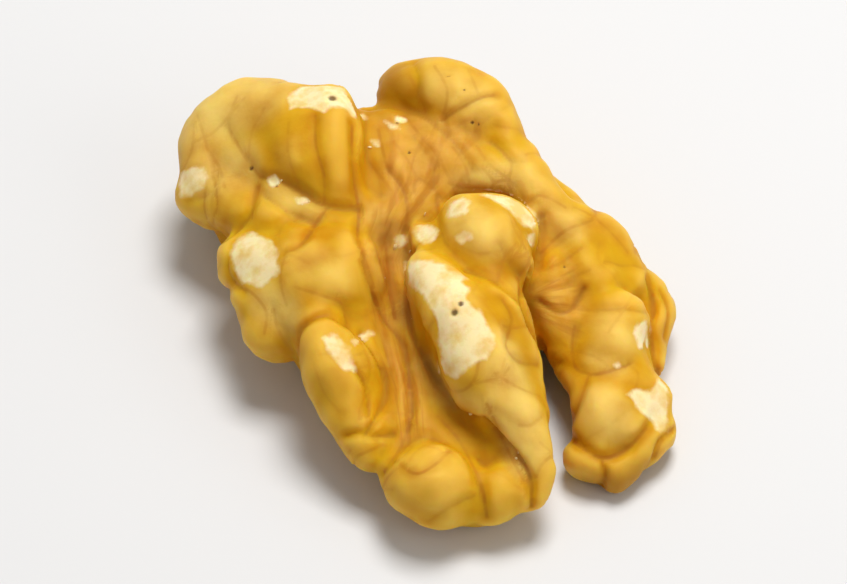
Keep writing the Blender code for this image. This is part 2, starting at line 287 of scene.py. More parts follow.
def nearest_line(lines, reach):
    """For every vertex: the offset from the nearest line, and that line's strength, within reach.

    Where a line leaps from one fold to the next, by more than JUMP, it is broken.
    """
    starts, ends, strengths = [], [], []
    for strength, points in lines:
        for a, b in zip(points, points[1:]):
            if (b - a).length < JUMP:
                starts.append(a)
                ends.append(b)
                strengths.append(strength)
    tree = KDTree(len(starts))
    for k, (a, b) in enumerate(zip(starts, ends)):
        tree.insert((a + b) / 2, k)
    tree.balance()
    offsets = np.full((count, 3), reach)
    powers = np.zeros(count)
    corners = np.array(starts + ends)
    low, high = corners.min(axis=0) - reach, corners.max(axis=0) + reach
    for i in np.flatnonzero(((places > low) & (places < high)).all(axis=1)):
        spot = Vector(places[i])
        _, k, away = tree.find(spot)
        if away > reach:
            continue
        along = ends[k] - starts[k]
        t = (spot - starts[k]).dot(along) / max(along.length_squared, TINY)
        t = min(1.0, max(0.0, t))
        offsets[i] = spot - (starts[k] + along * t)
        powers[i] = strengths[k]
    return offsets, powers


def spread(table, skin):
    """One value for each vertex: each line's strength, fading to 0 at its radius."""
    values = np.zeros(count)
    for strength, radius, points in table.values():
        offsets, found = nearest_line([(1.0, dropped(points, skin))], radius * MM)
        fade = np.clip(1 - np.linalg.norm(offsets, axis=1) / (radius * MM), 0, 1) * found
        values = np.maximum(values, strength * np.sqrt(fade))
    return blurred(values, SPREAD_BLUR)


soften = spread(SEAMS, skin)
places = places + (blurred(places, SEAM_BLUR) - places) * soften[:, None]
skin = surface()
print("softened vertices:", int((soften > 0.1).sum()))

# %% [markdown]
# ## The creases that the photograph shows
#
# The big folds are already in the part. These are the creases between and across them, each with
# its depth and its half-width in millimetres. A carved crease is deepest along its line, and its
# sides bulge as they rise, so that two plump folds seem to press against each other.

# %% Creases by name
CREASES = {
    "dome_edge": (0.16, 1.0, [(-12.7, 10.6), (-11.9, 9.4), (-11.1, 8.2), (-10.5, 7)]),
    "tongue_foot": (0.32, 0.8, [(-10.4, 7.3), (-9.3, 7.1), (-7.9, 6.4), (-6.5, 5.6), (-5.3, 5.3),
                                (-4.2, 5.3)]),
    "trough_side": (0.14, 0.5, [(-10.5, 6.4), (-9.4, 5.6), (-8.1, 4.9), (-7, 4.4)]),
    "shoulder_fold": (0.24, 0.7, [(-13.2, 3), (-12.3, 3.6), (-11.3, 4.6), (-10.8, 5.8), (-10.6, 6.8)]),
    "shoulder_bump": (0.12, 0.6, [(-15.2, 5.8), (-13.9, 6.2), (-13.3, 7.2), (-13.6, 8.8)]),
    "mound": (0.15, 0.6, [(-8.8, 2.4), (-7.6, 3.1), (-6.9, 4.2), (-6.2, 5.2)]),
    "centre_ring": (0.22, 0.6, [(-12.1, 3.1), (-12.5, 2), (-12.3, 0.9), (-11.3, 0)]),
    "tongue_rib": (0.08, 0.6, [(-6.9, 11.2), (-6.8, 9.2), (-6.4, 7.3), (-6.3, 5.7)]),
    "tongue_middle": (0.12, 0.6, [(-4.6, 10.8), (-4.5, 8.6), (-4.3, 6.7), (-4.1, 5.2), (-4.1, 3.5),
                                  (-3.7, 2.1), (-3.1, 0.3)]),
    "tongue_edge": (0.12, 0.7, [(-3.6, 11.4), (-3.6, 8.8), (-3, 7.5), (-2.7, 6.2)]),
    "finger_top": (0.24, 0.6, [(-7.9, -3.9), (-7.8, -2.5), (-7, -1.7), (-6, -1.4), (-4.9, -2),
                               (-4.2, -2.6)]),
    "finger_side": (0.2, 0.6, [(-4.3, -4.4), (-3.5, -6), (-3.4, -7.6)]),
    "finger_foot": (0.35, 0.6, [(-3.9, -2.6), (-2.8, -4.1), (-2.3, -6), (-2.9, -7.7), (-3.6, -8.8)]),
    "low_bump": (0.08, 0.6, [(-9.6, -0.8), (-9.1, -2), (-8.1, -2.7)]),
    "left_valley": (0.14, 0.5, [(-3.8, 1.9), (-3.2, 0.1), (-2.5, -1.6), (-1.3, -3.2), (-0.9, -5.3),
                                (-0.7, -7.3), (-1, -8.6)]),
    "hem": (0.16, 0.6, [(-3.5, 11.8), (-2.2, 11.9), (-0.7, 11.6), (0.9, 10.5), (2.2, 9.3), (3.2, 7.7)]),
    "skin_fold": (0.09, 0.5, [(-1, 10.5), (0.1, 8.9), (0.7, 7.8), (0.6, 6.6)]),
    "skin_fold_left": (0.14, 0.5, [(-2.3, 7.8), (-1.4, 6.7), (-1, 5.4), (-1.2, 3.9)]),
    "hook_end": (0.2, 0.9, [(-0.7, 14.8), (-0.4, 13.6), (-0.6, 12.4)]),
    "hook_rib": (0.16, 0.6, [(1.2, 11), (2.2, 11.6), (3.6, 12.4), (4.6, 12.6)]),
    "neck": (0.14, 0.7, [(4.3, 9.6), (5.6, 8.4), (6.9, 8.4)]),
    "knob_ridge": (0.2, 0.7, [(2.7, 1.4), (4.4, 0.7), (6, -0.6)]),
    "knob_lobe": (0.40, 0.6, [(7.5, 4.8), (7.4, 2.4), (6.7, 0.9), (6.2, -0.4), (6.7, -2), (7.6, -4)]),
    "knob_left": (0.1, 0.7, [(0.9, 6.1), (0.9, 4.4), (1.5, 2.9), (2.7, 1.6)]),
    "knob_side": (0.16, 0.8, [(4.9, 2.9), (5.4, 1.7), (6.3, 1)]),
    "lobe_top": (0.1, 0.7, [(7.3, 2.2), (8.2, 2.8), (9.3, 3.6), (10.3, 4.6), (10.9, 5.4)]),
    "lobe_fan": (0.20, 0.5, [(7.3, -0.6), (8.3, -1.2), (9.3, -1), (10.1, 0.2)]),
    "bulge_top": (0.1, 0.7, [(9.3, -1), (10.6, -1.2), (12.6, -1), (14.1, -1.2)]),
    "bulge_left": (0.1, 0.8, [(10, -1.6), (9.5, -3), (9.7, -4.6)]),
    "fringe": (0.26, 0.5, [(14.3, 0.9), (14.6, -0.6), (14.5, -3.4), (15, -5.4)]),
    "fringe_line": (0.12, 0.4, [(15.1, 0.1), (15.6, -1.3), (15.3, -2.9)]),
    "waist": (0.14, 0.9, [(8, -4.4), (9.5, -4.7), (10.4, -5.1), (11.4, -5), (12.9, -4.5)]),
    "low_bulge_left": (0.1, 0.8, [(10.3, -5.3), (9.7, -6.9), (9.1, -8.5), (9.3, -9.3)]),
    "bulge_base": (0.25, 0.8, [(9.2, -9.1), (11.1, -10.3), (12.7, -9.7), (13.9, -8.5), (14.5, -7.6)]),
    "rim_foot": (0.25, 0.5, [(14.4, -10.4), (14.8, -9.3), (15.8, -8.6)]),
    "tip": (0.22, 0.5, [(11.1, -10.4), (11.3, -11.4), (11, -12.3)]),
    "ridge_foot": (0.2, 0.5, [(-1.2, 2.6), (-1.2, 0.6), (-0.9, -1.8), (-0.1, -3.9), (1.1, -5.9),
                              (2.3, -7.4), (3.7, -7.9)]),
    "ridge_end": (0.35, 0.6, [(3.7, -7.9), (4.7, -8.9), (5.7, -10.1), (6.5, -11.4), (6.7, -13.3),
                              (6.1, -14.4)]),
    "ridge_waist": (0.12, 0.9, [(4.9, -0.4), (5.5, -1.7), (5.2, -3.3), (5.9, -4.3), (7.1, -4.6)]),
    "ridge_low": (0.08, 0.8, [(4.3, -7.2), (6, -8.2), (7.4, -7.7)]),
    "heel_top": (0.2, 0.8, [(-2.6, -11.2), (-1.3, -9.6), (-0.1, -8.9), (1.9, -9.5), (2.9, -10.5),
                            (3.5, -12), (3.9, -13.9)]),
    "heel_lip": (0.12, 0.9, [(0.3, -14.2), (1.5, -13.3), (3.2, -12.6)]),
    "finger_end": (0.25, 0.6, [(-4.9, -8.9), (-4, -8.7), (-3, -8.9), (-1.9, -8.8)]),
}
CREASE_FALL = 1.6

carving = np.zeros(count)
for depth, half_width, points in CREASES.values():
    offsets, found = nearest_line([(1.0, dropped(points, skin))], half_width * MM)
    fade = np.clip(1 - np.linalg.norm(offsets, axis=1) / (half_width * MM), 0, 1) * found
    carving = np.maximum(carving, depth * fade**CREASE_FALL)
places = places - outward() * (carving * MM)[:, None]
print("creases:", len(CREASES), "vertices carved:", int((carving > 0).sum()))

# %% [markdown]
# ## What the camera sees
#
# From here on, many things are drawn only on the side that the photograph shows. So each vertex
# gets its place in the picture, across and up in millimetres, and a mark that says whether the
# camera can see it: it has to face the camera, and a ray towards the camera has to get out.

# %% Places in the picture
GRAZING = 0.05
LIFT_OFF = 0.5 * GRAIN
face_across = (places - np.array(FACE_CENTRE)) @ np.array(RIGHT) / MM
face_up = (places - np.array(FACE_CENTRE)) @ np.array(UP) / MM
normals = outward()
skin = surface()
seen = np.zeros(count, dtype=bool)
for i in np.flatnonzero(normals @ np.array(TOWARDS_CAMERA) > GRAZING):
    start = Vector(places[i]) + Vector(normals[i]) * LIFT_OFF
    seen[i] = skin.ray_cast(start, TOWARDS_CAMERA)[0] is None
print("share of vertices seen:", round(seen.mean(), 2))

# %% [markdown]
# ## Wrinkled skin in the valley
#
# Between the two lobes the kernel's thin skin is not stretched over flesh, and it dries into
# long, soft wrinkles that run along the valley and fan out at its top. The right lobe has a
# smaller fan beside the knob. Each vertex gets one coordinate across the wrinkles and one along
# them, and noise that is stretched along them makes the ridges, both here in the mesh and later,
# finer still, in the material. The valley's own line is given as up, across and half-width.

# %% Wrinkles
VALLEY_LINE = [(11.5, 0.2, 4.2), (10, 0.5, 4), (7, -0.3, 3.2), (4.5, -1.8, 1.7), (2, -2.7, 1.5),
               (0, -2.3, 1.7), (-3, -1.7, 1.6), (-6, -0.9, 1.5), (-9, -0.7, 1.3)]
FAN_CENTRE = (5.6, -0.6)
FAN_REACH = (1.2, 5.2)
FAN_TURN = (math.radians(-42), math.radians(42))
FAN_FADES = (2, 0.7, 4)
FAN_STRETCH = 3
VALLEY_ENDS = (-9.4, 11.3)
VALLEY_FADE = 2.5
VALLEY_STRETCH = 1.7
RIDGES = ((1.0, 1.5, 0.22, 3.7), (0.45, 3.1, 0.4, 9.1))
WRINKLE_HEIGHT = 0.11 * MM
WRINKLE_BLUR = 0.3 * MM

valley = np.array(VALLEY_LINE)[::-1]
centre = np.interp(face_up, valley[:, 0], valley[:, 1])
half_width = np.interp(face_up, valley[:, 0], valley[:, 2])
beside = (face_across - centre) / half_width
in_valley = np.clip((1 - np.abs(beside)) * VALLEY_FADE, 0, 1)
in_valley = in_valley * (face_up < VALLEY_ENDS[1]) * (face_up > VALLEY_ENDS[0])
fan_x = face_across - FAN_CENTRE[0]
fan_y = face_up - FAN_CENTRE[1]
fan_radius = np.hypot(fan_x, fan_y)
fan_angle = np.arctan2(fan_y, fan_x)
in_fan = np.ones(count)
for inside, fade in (
    (fan_radius - FAN_REACH[0], FAN_FADES[0]), (FAN_REACH[1] - fan_radius, FAN_FADES[1]),
    (fan_angle - FAN_TURN[0], FAN_FADES[2]), (FAN_TURN[1] - fan_angle, FAN_FADES[2]),
):
    in_fan = in_fan * np.clip(inside * fade, 0, 1)
use_fan = in_fan > in_valley
wrinkle = blurred(np.where(seen, np.maximum(in_valley, in_fan), 0), WRINKLE_BLUR)
wrinkle_across = np.where(use_fan, fan_angle * FAN_STRETCH, beside * VALLEY_STRETCH)
wrinkle_along = np.where(use_fan, fan_radius, face_up)
fine = np.array([
    sum(
        height * noise.noise(Vector((a * across, b * along, shift)))
        for height, across, along, shift in RIDGES
    )
    for a, b in zip(wrinkle_across, wrinkle_along)
])
places = places + outward() * (fine * wrinkle * WRINKLE_HEIGHT)[:, None]
print("wrinkled vertices:", int((wrinkle > 0.5).sum()))

# %% [markdown]
# ## Veins
#
# Fine reddish veins branch under the skin. They climb out of the creases, cross the flanks and
# thin out on the crests. Those that the photograph shows are drawn, each with its strength.

# %% Drawn veins
VEINS = [
    (0.7, [(-13.7, 9), (-13.5, 7.6), (-13.2, 5.7), (-13.6, 4.1)]),
    (0.5, [(-13.8, 9.1), (-13.1, 8), (-12.7, 6.7)]),
    (0.4, [(-12, 12.6), (-12.5, 11), (-12.2, 9.6)]),
    (0.5, [(-14.6, 11.4), (-14.1, 10), (-13.7, 8.6)]),
    (0.4, [(-11.5, 12.5), (-12.6, 11.2), (-13.6, 10.2), (-14.9, 9.6)]),
    (0.4, [(-10.2, 11.8), (-11, 10.2), (-11.2, 8.6)]),
    (0.5, [(-12.4, 10.3), (-11.4, 8.6), (-10.4, 7.3)]),
    (0.7, [(-9.5, 7.3), (-7.9, 6.3), (-6.5, 5.6), (-4.2, 5.4)]),
    (0.6, [(-10.6, 6.7), (-10.8, 6), (-10.9, 4.7)]),
    (0.8, [(-6.9, 11.2), (-6.8, 9.2), (-6.3, 7.3), (-6.3, 5.7)]),
    (1.0, [(-4.5, 10.6), (-4.5, 8.6), (-4.3, 6.7), (-4.1, 5.2), (-4.1, 3.5), (-3.7, 2.2), (-3.1, 0.3)]),
    (0.5, [(-3.7, 11.1), (-3.6, 8.6), (-2.9, 7.6), (-2.1, 6.5)]),
    (0.4, [(-8.6, 10.8), (-8.6, 8.8), (-7.9, 6.6)]),
    (0.9, [(-6.2, 5.2), (-6.9, 4.3), (-7.6, 3.1), (-8.7, 2.5)]),
    (0.5, [(-8.7, 2.4), (-9, 0.8), (-8.6, -0.8)]),
    (0.6, [(-12, 0.3), (-10.9, 0), (-9.9, -1.2), (-10, -2.6)]),
    (0.5, [(-9.4, -1.1), (-9.2, -2.1), (-8.6, -3.4)]),
    (0.6, [(-8, 0.3), (-6.4, -0.2), (-5.2, -0.7), (-4.8, -1.9)]),
    (0.6, [(-7.8, -3.9), (-7.8, -2.5), (-7, -1.7), (-6, -1.4)]),
    (0.7, [(-4.2, -4.7), (-3.4, -6.1), (-3.4, -7.7)]),
    (0.3, [(-6.8, -4.5), (-6.2, -6.2), (-5.2, -7.4)]),
    (0.9, [(-3.8, 1.9), (-3.2, 0.1), (-2.5, -1.7), (-1.7, -2.7), (-1.1, -3.6)]),
    (1.0, [(-1.1, -3.3), (-0.9, -5.3), (-0.7, -7.3), (-1, -8.6), (-1.5, -9.7), (-2.5, -11.1)]),
    (0.6, [(-1.3, 0.1), (-0.9, -2.3), (-0.1, -3.9), (0.9, -5.7)]),
    (1.2, [(-2.4, 3.1), (-2.2, 1.6), (-2.1, 0.2), (-1.8, -1.6)]),
    (0.7, [(-1.2, 11.3), (-0.2, 10), (0.9, 8.6), (0.7, 7.8)]),
    (0.8, [(-2.3, 7.8), (-1.4, 6.7), (-1, 5.4), (-1.2, 3.9)]),
    (0.7, [(-2.9, 10.4), (-2.6, 9), (-2.3, 7.8)]),
    (0.6, [(-0.6, 6.3), (-0.4, 7.2), (0.6, 6.6), (1.2, 5.9)]),
    (0.4, [(-1.9, 9.6), (-1, 8.4), (-0.4, 7.2)]),
    (0.5, [(1.9, 9.2), (2.6, 8.2), (2.9, 7)]),
    (0.5, [(3.4, 9.3), (4.2, 8.1), (5.4, 7.2)]),
    (0.6, [(1.2, 11), (2.2, 11.6), (3.6, 12.4), (4.5, 12.6)]),
    (0.5, [(0.7, 14.5), (1.5, 12.9), (1.2, 11.1)]),
    (0.4, [(2.9, 14.2), (3.3, 13.2), (3.6, 12.4)]),
    (0.5, [(-0.9, 13.9), (-0.3, 12.6), (0.1, 11.6)]),
    (0.5, [(4.6, 9.4), (5.6, 8.2), (5.4, 6.9), (6, 5.2)]),
    (0.5, [(6, 5.2), (7.4, 6.1), (9, 5.4)]),
    (0.7, [(7.4, 2.5), (9, 3.9), (10.7, 4.6), (11, 5.4)]),
    (0.5, [(9.6, 5.4), (10.8, 4.8), (12.3, 3.4), (13, 2.5)]),
    (0.7, [(13.4, 3), (14.3, 1.2), (14.6, -0.6), (14.5, -3.4), (15, -5.4)]),
    (0.5, [(15.1, 0.1), (15.6, -1.3), (15.3, -2.9)]),
    (0.7, [(7.3, -0.5), (8.3, -1.3), (9.3, -1.1), (10.1, 0.3)]),
    (0.5, [(8.7, -0.7), (10.1, -1.1), (12.7, -1.1), (14.1, -1.3)]),
    (0.5, [(7.5, 1.4), (8.8, 1.9), (10, 2.8)]),
    (0.4, [(7.4, 0.6), (8.9, 0.8), (10.5, 1.4)]),
    (0.9, [(9.5, -2.2), (9.3, -3.4), (9.5, -4.7), (10.3, -5.1), (11.3, -5), (12.9, -4.5)]),
    (0.8, [(10.3, -5.2), (9.7, -6.9), (9.1, -8.5), (9.3, -9.3)]),
    (1.1, [(9.3, -9.3), (11.1, -10.3), (12.7, -9.7), (13.9, -8.5)]),
    (0.4, [(12.3, -4.4), (13.4, -5), (13.2, -6.2)]),
    (0.7, [(11.1, -10.4), (11.3, -11.6), (10.8, -12.4)]),
    (0.6, [(14.5, -10.3), (14.9, -9.3), (15.9, -8.5)]),
    (0.6, [(7.7, -6.6), (8.4, -7.8), (9.1, -8.5)]),
    (0.6, [(4.9, -0.5), (5.5, -1.7), (5.1, -3.3), (5.9, -4.3), (7.1, -4.5)]),
    (0.5, [(5.9, -8.2), (6.6, -8.2), (7.3, -7.7)]),
    (0.5, [(4.4, -5), (5.7, -5.8), (7.2, -6.4)]),
    (0.7, [(3.9, -6.9), (4.6, -8.5), (5.3, -10), (6.2, -11.6)]),
    (0.7, [(0.9, -7.7), (2.3, -9.3), (3.5, -11.7), (3.9, -13.9)]),
    (0.3, [(1.9, 3), (3.4, 2.4), (5, 2.6)]),
    (0.6, [(5.4, 1.8), (6.2, 3.2), (5.7, 4.6)]),
    (0.9, [(-1.9, -10.3), (-0.6, -11.1), (0.5, -10.7), (1.7, -9.7)]),
    (0.6, [(5.7, -10.1), (6.5, -11.3), (6.7, -13.3)]),
    (0.3, [(0.3, -14.1), (1.5, -13.3), (3.1, -12.5)]),
    (0.4, [(-15.6, 7.6), (-14.9, 9.2), (-14.8, 10.8)]),
    (0.6, [(0.8, 6.2), (0.9, 4.6), (1.3, 3.2), (2, 2.4)]),
    (0.7, [(5.8, 3), (5, 2), (4.6, 0.7)]),
]
skin = surface()
vein_lines = [(strength, dropped(points, skin)) for strength, points in VEINS]
print("drawn veins:", len(VEINS))

# %% [markdown]
# ## Veins that grow
#
# On the sides and underneath, where nothing could be drawn, the veins are grown: each starts in a
# crease, heads uphill, wavers, and now and then puts out a branch. They keep clear of the drawn
# ones, and on the side that the camera sees they are fainter.

# %% Grown veins
GROWN_SPACING = 1.5 * MM
GROWN_LENGTH = 6.5 * MM
GROWN_SHARE = (0.4, 1)
GROWN_STRENGTH = (0.3, 0.7)
GROWN_STEP = 0.2 * MM
GROWN_FROM = 0.05 * MM
GROWN_CLEAR = 1.0 * MM
GROWN_SEEN = 0.5
WAVER = 0.32
WAVER_LENGTH = 1.4 * MM
BRANCH_CHANCE = 0.045
BRANCH_FROM = 0.4
BRANCH_TURN = (0.5, 0.9)
BRANCH_LENGTH = (0.3, 0.55)
BRANCH_STRENGTH = 0.7
DRAW_SEED = 11
NOISE_SEED = 5
draw = random.Random(DRAW_SEED)
noise.seed_set(NOISE_SEED)
hollow = hollowness(CREASE_WIDTH)
normals = outward()
lift = hollow[from_ends] - hollow[to_ends]
slope = np.stack([
    np.bincount(from_ends, lift * (places[to_ends, k] - places[from_ends, k]), count)
    for k in range(3)
], axis=1)


def grow(start, heading, length, strength):
    """One vein from start, as a list of (strength, points) with its branches."""
    here, way, points, grown = start, heading.normalized(), [start], []
    for _ in range(int(length / GROWN_STEP)):
        way = (way + noise.noise_vector(here / WAVER_LENGTH) * WAVER).normalized()
        hit, normal, _, _ = skin.find_nearest(here + way * GROWN_STEP)
        way = (way - normal * way.dot(normal)).normalized()
        here = hit
        points.append(here)
        if strength > BRANCH_FROM and draw.random() < BRANCH_CHANCE:
            turn = Matrix.Rotation(draw.choice((-1, 1)) * draw.uniform(*BRANCH_TURN), 3, normal)
            shorter = length * draw.uniform(*BRANCH_LENGTH)
            grown += grow(here, turn @ way, shorter, strength * BRANCH_STRENGTH)
    return [(strength, points), *grown]


taken = KDTree(sum(len(points) for _, points in vein_lines))
for k, point in enumerate(p for _, points in vein_lines for p in points):
    taken.insert(point, k)
taken.balance()
roots = []
for i in draw.sample(range(count), count):
    if hollow[i] < GROWN_FROM or taken.find(Vector(places[i]))[2] < GROWN_CLEAR:
        continue
    if all((Vector(places[i]) - root).length > GROWN_SPACING for root in roots):
        roots.append(Vector(places[i]))
        length = GROWN_LENGTH * draw.uniform(*GROWN_SHARE)
        strength = draw.uniform(*GROWN_STRENGTH) * (GROWN_SEEN if seen[i] else 1)
        vein_lines += grow(roots[-1], Vector(slope[i]), length, strength)
print("grown veins:", len(vein_lines) - len(VEINS))

# %% [markdown]
# ## The arrow from the nearest vein
#
# For each vertex the mesh keeps the arrow from the nearest vein, not just its distance, because
# an arrow passes through zero between two vertices and so draws a line much thinner than the mesh
# itself. The skin dips a little along each vein, and more on the sides that have no drawn creases.

# %% Arrows and dips
VEIN_REACH = 1.2 * MM
DIP_WIDTH = 0.8 * MM
DIP_FALL = 1.5
DIP_SEEN = 0.08 * MM
DIP_HIDDEN = 0.45 * MM
vein_offset, vein_strength = nearest_line(vein_lines, VEIN_REACH)
vein_distance = np.linalg.norm(vein_offset, axis=1)
dip_depth = blurred(np.where(seen, DIP_SEEN, DIP_HIDDEN), MM)
dip = np.clip(1 - vein_distance / DIP_WIDTH, 0, 1) ** DIP_FALL * vein_strength * dip_depth
places = places - outward() * dip[:, None]
print("vertices near a vein:", int((vein_strength > 0).sum()))

# %% [markdown]
# ## Rubbed crests
#
# A shelled kernel gets rubbed in the sack, and the skin comes off its highest points, so that the
# cream flesh shows. The photographed patches are drawn as outlines. For each vertex the mesh keeps
# how deep inside an outline it lies, in millimetres, and the material later roughens that edge
# with noise. On steep flanks an outline counts for less, so that it doesn't smear down them.

# %% Patches by outline
PATCHES = {
    "shoulder": [(-15.9, 6.9), (-15.6, 7.6), (-14.9, 8.1), (-14.1, 8.1), (-13.7, 7.4), (-14.2, 6.6),
                 (-14.9, 6.1), (-15.5, 6.3)],
    "centre": [(-12.2, 2.4), (-11.9, 3.3), (-10.9, 3.7), (-9.7, 3.3), (-9.1, 2.3), (-9.2, 1),
               (-10.2, 0.3), (-11.4, 0.5), (-12, 1.4)],
    "tongue": [(-8.7, 12.4), (-7.9, 13.3), (-6.6, 13.6), (-5.1, 13.1), (-4.2, 12.2), (-3.7, 11.1),
               (-4.5, 11.2), (-5, 11.7), (-5.8, 11.9), (-6.3, 11.4), (-6.9, 11.6), (-7.6, 11.9),
               (-8.5, 11.7)],
    "finger": [(-6.2, -2.9), (-5.6, -2.5), (-5, -2.8), (-4.6, -3.6), (-4.3, -4.9), (-5, -4.7),
               (-5.7, -4.1), (-6.1, -3.6)],
    "finger_flake": [(-4.5, -3), (-4.1, -2.7), (-3.6, -2.4), (-3.2, -2.6), (-3.6, -2.9), (-4.2, -3.2)],
    "knob_left": [(1.4, 5.2), (1.7, 5.9), (2.5, 6.1), (2.9, 5.6), (2.7, 5), (2, 4.7), (1.5, 4.7)],
    "knob_crest": [(3.2, 6.4), (4.2, 6.4), (5.3, 6.1), (6.4, 5.7), (7.1, 5), (7.3, 4.3), (6.9, 3.9),
                   (6.4, 4.1), (5.9, 4.7), (5, 5.5), (4.2, 5.9)],
    "knob_tail": [(6.5, 3.7), (7, 3.7), (7, 2.9), (6.6, 2.9)],
    "dot": [(-0.6, 3.7), (-0.2, 4.2), (0.5, 4.3), (0.8, 3.7), (0.5, 3.1), (-0.3, 3.1)],
    "ridge": [(-1.1, 1.8), (-0.4, 2.1), (0.5, 2), (1.3, 1.7), (2.4, 1), (2.9, 0.3), (2.6, -0.4),
              (3.6, -1.3), (4.2, -2.2), (4.3, -3.2), (3.9, -4.2), (2.7, -4.6), (1.9, -5.2), (0.9, -5.1),
              (1, -4), (0.8, -2.8), (0.7, -1.6), (0.3, -0.6), (-0.1, -0.1), (-0.9, 0.3), (-1.2, 1.1)],
    "scuff_top": [(-2.5, 10.9), (-1.6, 10.6), (-1.5, 10.4), (-2.3, 10.6)],
    "scuff_high": [(-1.7, 11.3), (-1.2, 11.1), (-1.3, 10.9), (-1.7, 11.1)],
    "scuff_left": [(-3.4, 9.7), (-3, 9.6), (-2.9, 9.3), (-3.2, 9.3)],
    "scuff_trough": [(-9.9, 7.2), (-9.4, 7.4), (-9.1, 7), (-9.6, 6.7)],
    "scuff_low": [(-8.1, 5.9), (-7.5, 6), (-7.3, 5.7), (-7.9, 5.6)],
    "scuff_middle": [(-1.9, 3.4), (-1.3, 3.5), (-1.0, 3.1), (-1.6, 2.8)],
    "lobe_dot": [(13.2, -2.6), (13.5, -1.9), (14.1, -1.8), (14.4, -2.6), (14.2, -3.4), (13.5, -3.5)],
    "lobe_low": [(12.6, -6.4), (13.3, -6), (14.2, -6.2), (14.8, -5.5), (15.5, -5.8), (15.6, -7),
                 (15.3, -8.7), (14.6, -8.5), (13.9, -7.6), (13.2, -7.1)],
    "fringe_tip": [(15.2, 0.8), (15.8, 0.5), (16.2, 0), (15.9, -0.1), (15.4, 0.3)],
    "scuff_knob": [(2, 3.4), (2.5, 3.7), (2.9, 3.5), (2.4, 3)],
    "scuff_lobe": [(11.9, -4.5), (12.3, -4.4), (12.4, -4.7), (12, -4.8)],
}
NOT_BARE = -3.0
STEEP_LOSS = 4


def inside_by(outline):
    """How far inside the outline each vertex lies in the picture, in mm; negative outside."""
    spot = np.stack([face_across, face_up], axis=1)
    nearest = np.full(count, np.inf)
    inside = np.zeros(count, dtype=bool)
    for a, b in zip(outline, outline[1:] + outline[:1]):
        a, b = np.array(a), np.array(b)
        t = np.clip(((spot - a) @ (b - a)) / ((b - a) @ (b - a)), 0, 1)
        nearest = np.minimum(nearest, np.linalg.norm(spot - (a + t[:, None] * (b - a)), axis=1))
        crosses = (a[1] > spot[:, 1]) != (b[1] > spot[:, 1])
        if a[1] != b[1]:
            edge = (b[0] - a[0]) * (spot[:, 1] - a[1]) / (b[1] - a[1]) + a[0]
            inside ^= crosses & (spot[:, 0] < edge)
    return np.where(inside, nearest, -nearest)


facing = outward() @ np.array(TOWARDS_CAMERA)
steep = np.clip(SIDE_ON - facing, 0, SIDE_ON) * STEEP_LOSS
bare = np.full(count, NOT_BARE)
for outline in PATCHES.values():
    bare = np.maximum(bare, np.where(seen, inside_by(outline) - steep, NOT_BARE))
print("patches by outline:", len(PATCHES))

# %% [markdown]
# ## Patches on the hidden side
#
# On the sides that the camera doesn't see, a few patches sit on the sharpest crests. Each is a
# ball squashed one way and wavy with noise, and it fades before it reaches the seen side.

# %% Hidden patches
HIDDEN_PATCHES = 7
HIDDEN_SPACING = 5.5 * MM
HIDDEN_LOWEST = 2.5 * MM
HIDDEN_RADII = (0.5, 1.6)
HIDDEN_FACING = 0.4
HIDDEN_FADE = 5
HIDDEN_STRETCH = 0.9
HIDDEN_WAVE = 0.5
HIDDEN_WAVE_LENGTH = 0.8 * MM
HIDDEN_WAVE_REACH = 1
chosen = []
for i in np.argsort(hollow):
    spot = Vector(places[i])
    if facing[i] > -HIDDEN_FACING or spot.z < HIDDEN_LOWEST:
        continue
    if any((spot - other).length < HIDDEN_SPACING for other in chosen):
        continue
    chosen.append(spot)
    radius = draw.uniform(*HIDDEN_RADII)
    away = (places - np.array(spot)) / MM
    stretch = 1 + HIDDEN_STRETCH * np.abs(away @ np.array(noise.random_unit_vector()))
    depth = radius - np.linalg.norm(away, axis=1) * stretch
    for k in np.flatnonzero(depth > -HIDDEN_WAVE_REACH):
        depth[k] += HIDDEN_WAVE * noise.noise(Vector(places[k]) / HIDDEN_WAVE_LENGTH)
    depth -= np.clip(facing + HIDDEN_FACING, 0, 1) * HIDDEN_FADE
    bare = np.maximum(bare, depth)
    if len(chosen) == HIDDEN_PATCHES:
        break
print("patches on hidden crests:", len(chosen))

# %% Rub them flatter and a film's thickness lower
RUB_EDGE = 2.5
RUB_BLUR = 0.12 * MM
FLATTEN = 0.55
FLAT_BLUR = 0.7 * MM
SKIN_THICKNESS = 0.06 * MM
rubbed = blurred(np.clip(bare * RUB_EDGE + 0.5, 0, 1), RUB_BLUR)
flattening = (blurred(places, FLAT_BLUR) - places) * (rubbed * FLATTEN)[:, None]
places = places + flattening - outward() * (rubbed * SKIN_THICKNESS)[:, None]
print("rubbed vertices:", int((rubbed > 0.5).sum()))
